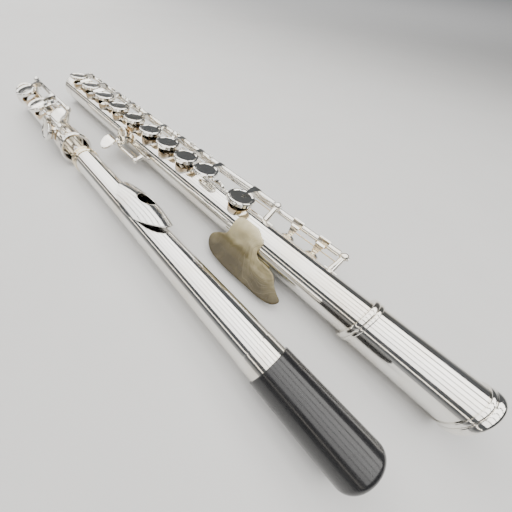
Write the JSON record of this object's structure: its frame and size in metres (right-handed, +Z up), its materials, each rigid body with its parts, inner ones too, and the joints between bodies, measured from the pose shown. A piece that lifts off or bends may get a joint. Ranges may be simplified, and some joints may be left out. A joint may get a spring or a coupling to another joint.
{
  "type": "concert flute",
  "caption": "Silver-plated closed-hole transverse flute taken apart into its head, body and foot joints, side by side, with moving keys, a cap on the head tenon and a clip-on finger saddle.",
  "frame": {"origin": "centre of the barrel's open mouth, on the body joint's axis", "axes": "+X along the body joint away from the barrel mouth; +Y to the side on which the head and foot joints lie; +Z up, with the keys on top"},
  "size_m": [0.382, 0.0849, 0.0338],
  "materials": {
    "silver_plate": "polished silver plate",
    "warm_silver": "polished, slightly warm silver plate",
    "hinge_steel": "ground steel",
    "spring_wire": "drawn wire",
    "pad_skin": "felt under a thin skin",
    "cork": "sanded cork",
    "black_plastic": "gloss moulded",
    "horn_plastic": "gloss, cloudy swirls"
  },
  "bodies": {
    "body_joint": {"barrel": "silver_plate", "barrel_rings": "silver_plate", "body_tube": "silver_plate", "body_ribs": "silver_plate", "body_posts": "silver_plate", "left_hand_steel": "hinge_steel", "right_hand_steel": "hinge_steel", "thumb_steel": "hinge_steel", "g_sharp_steel": "hinge_steel", "body_springs": "spring_wire"},
    "c_key": {"c_key": "silver_plate", "c_key_pad": "pad_skin"},
    "b_flat_key": {"b_flat_key": "silver_plate", "b_flat_pad": "pad_skin"},
    "a_key": {"a_key": "silver_plate", "a_pad": "pad_skin"},
    "g_key": {"g_key": "silver_plate", "g_pads": "pad_skin"},
    "f_sharp_key": {"f_sharp_key": "silver_plate", "f_sharp_pad": "pad_skin"},
    "f_key": {"f_key": "silver_plate", "f_pad": "pad_skin"},
    "e_key": {"e_key": "silver_plate", "e_pad": "pad_skin"},
    "d_key": {"d_key": "silver_plate", "d_pad": "pad_skin"},
    "g_sharp_key": {"g_sharp_key": "silver_plate", "g_sharp_pad": "pad_skin"},
    "thumb_b_key": {"thumb_b_key": "silver_plate", "thumb_b_pad": "pad_skin"},
    "thumb_b_flat_lever": {"thumb_b_flat_lever": "silver_plate"},
    "trill_d_sharp_key": {"trill_steel": "hinge_steel", "trill_d_sharp_key": "silver_plate", "trill_d_sharp_pad": "pad_skin"},
    "trill_d_key": {"trill_d_key": "silver_plate", "trill_d_pad": "pad_skin"},
    "finger_saddle": {"finger_saddle": "horn_plastic"},
    "head_joint": {"head_tube": "silver_plate", "lip_riser": "silver_plate", "lip_plate": "silver_plate", "stopper_cork": "cork", "stopper_rod": "hinge_steel", "stopper_plates": "hinge_steel"},
    "crown": {"crown": "warm_silver"},
    "tenon_cap": {"tenon_cap": "black_plastic"},
    "foot_joint": {"foot_tube": "silver_plate", "foot_rings": "silver_plate", "foot_ribs": "silver_plate", "foot_posts": "silver_plate", "foot_d_sharp_steel": "hinge_steel", "foot_springs": "spring_wire"},
    "d_sharp_key": {"d_sharp_key": "silver_plate", "d_sharp_pad": "pad_skin"},
    "low_c_sharp_key": {"low_c_sharp_key": "silver_plate", "low_c_sharp_pad": "pad_skin"},
    "low_c_key": {"foot_steel": "hinge_steel", "low_c_key": "silver_plate", "low_c_pad": "pad_skin"},
    "c_sharp_roller": {"c_sharp_roller": "black_plastic"},
    "c_roller": {"c_roller": "black_plastic"}
  },
  "joints": [
    {"name": "head_lift", "type": "slide", "parent": "body_joint", "child": "head_joint", "axis": [0, 0, 1], "range_m": [0, 0.12]},
    {"name": "foot_lift", "type": "slide", "parent": "body_joint", "child": "foot_joint", "axis": [0, 0, 1], "range_m": [0, 0.12]},
    {"name": "crown_turn", "type": "hinge", "parent": "head_joint", "child": "crown", "pos_m": [0.25, 0.048, -0.00132], "axis": [1, 0, 0], "continuous": true},
    {"name": "cap_pull", "type": "slide", "parent": "head_joint", "child": "tenon_cap", "axis": [-1, 0, 0], "range_m": [0, 0.045]},
    {"name": "saddle_pull", "type": "slide", "parent": "body_joint", "child": "finger_saddle", "axis": [0, 1, 0], "range_m": [0, 0.01]},
    {"name": "c_press", "type": "hinge", "parent": "body_joint", "child": "c_key", "pos_m": [0, -0.0154, 0.0132], "axis": [1, 0, 0], "range_deg": [-9, 0], "stiffness_Nm_per_rad": 0.02, "springref_deg": 5.73},
    {"name": "b_flat_press", "type": "hinge", "parent": "body_joint", "child": "b_flat_key", "pos_m": [0, -0.0154, 0.0132], "axis": [1, 0, 0], "range_deg": [-9, 0], "stiffness_Nm_per_rad": 0.02, "springref_deg": 5.73},
    {"name": "a_press", "type": "hinge", "parent": "body_joint", "child": "a_key", "pos_m": [0, -0.0154, 0.0132], "axis": [1, 0, 0], "range_deg": [-9, 0], "stiffness_Nm_per_rad": 0.02, "springref_deg": 5.73},
    {"name": "g_press", "type": "hinge", "parent": "body_joint", "child": "g_key", "pos_m": [0, -0.0154, 0.0132], "axis": [1, 0, 0], "range_deg": [-9, 0], "stiffness_Nm_per_rad": 0.02, "springref_deg": 5.73},
    {"name": "f_sharp_press", "type": "hinge", "parent": "body_joint", "child": "f_sharp_key", "pos_m": [0, -0.0154, 0.0132], "axis": [1, 0, 0], "range_deg": [-9, 0], "stiffness_Nm_per_rad": 0.02, "springref_deg": 5.73},
    {"name": "f_press", "type": "hinge", "parent": "body_joint", "child": "f_key", "pos_m": [0, -0.0154, 0.0132], "axis": [1, 0, 0], "range_deg": [-9, 0], "stiffness_Nm_per_rad": 0.02, "springref_deg": 5.73},
    {"name": "e_press", "type": "hinge", "parent": "body_joint", "child": "e_key", "pos_m": [0, -0.0154, 0.0132], "axis": [1, 0, 0], "range_deg": [-9, 0], "stiffness_Nm_per_rad": 0.02, "springref_deg": 5.73},
    {"name": "d_press", "type": "hinge", "parent": "body_joint", "child": "d_key", "pos_m": [0, -0.0154, 0.0132], "axis": [1, 0, 0], "range_deg": [-9, 0], "stiffness_Nm_per_rad": 0.02, "springref_deg": 5.73},
    {"name": "thumb_b_press", "type": "hinge", "parent": "body_joint", "child": "thumb_b_key", "pos_m": [0, -0.0176, 0.0032], "axis": [1, 0, 0], "range_deg": [0, 12], "stiffness_Nm_per_rad": 0.02, "springref_deg": -5.73},
    {"name": "thumb_b_flat_press", "type": "hinge", "parent": "body_joint", "child": "thumb_b_flat_lever", "pos_m": [0, -0.0176, 0.0032], "axis": [1, 0, 0], "range_deg": [0, 12], "stiffness_Nm_per_rad": 0.02, "springref_deg": -5.73},
    {"name": "g_sharp_press", "type": "hinge", "parent": "body_joint", "child": "g_sharp_key", "pos_m": [0, 0.0165, -0.0026], "axis": [1, 0, 0], "range_deg": [-8, 0], "stiffness_Nm_per_rad": 0.02, "springref_deg": 5.73},
    {"name": "trill_d_sharp_press", "type": "hinge", "parent": "body_joint", "child": "trill_d_sharp_key", "pos_m": [0, -0.0184, 0.0086], "axis": [1, 0, 0], "range_deg": [-8, 0], "stiffness_Nm_per_rad": 0.02, "springref_deg": 5.73},
    {"name": "trill_d_press", "type": "hinge", "parent": "body_joint", "child": "trill_d_key", "pos_m": [0, -0.0184, 0.0086], "axis": [1, 0, 0], "range_deg": [-8, 0], "stiffness_Nm_per_rad": 0.02, "springref_deg": 5.73},
    {"name": "d_sharp_press", "type": "hinge", "parent": "foot_joint", "child": "d_sharp_key", "pos_m": [0.254, 0.05214, 0.01488], "axis": [1, 0, 0], "range_deg": [0, 8], "stiffness_Nm_per_rad": 0.02, "springref_deg": -5.73},
    {"name": "low_c_sharp_press", "type": "hinge", "parent": "foot_joint", "child": "low_c_sharp_key", "pos_m": [0.254, 0.03804, 0.01767], "axis": [1, 0, 0], "range_deg": [-9, 0], "stiffness_Nm_per_rad": 0.02, "springref_deg": 5.73},
    {"name": "low_c_press", "type": "hinge", "parent": "foot_joint", "child": "low_c_key", "pos_m": [0.254, 0.03804, 0.01767], "axis": [1, 0, 0], "range_deg": [-9, 0], "stiffness_Nm_per_rad": 0.02, "springref_deg": 5.73},
    {"name": "c_sharp_roller_spin", "type": "hinge", "parent": "low_c_sharp_key", "child": "c_sharp_roller", "pos_m": [0.292, 0.05006, 0.01921], "axis": [1, 0, 0], "continuous": true},
    {"name": "c_roller_spin", "type": "hinge", "parent": "low_c_key", "child": "c_roller", "pos_m": [0.292, 0.04466, 0.02026], "axis": [1, 0, 0], "continuous": true}
  ],
  "couplings": [
    {"joint": "b_flat_press", "follows": "a_press", "ratio": 1},
    {"joint": "f_sharp_press", "follows": "f_press", "ratio": 1}
  ]
}
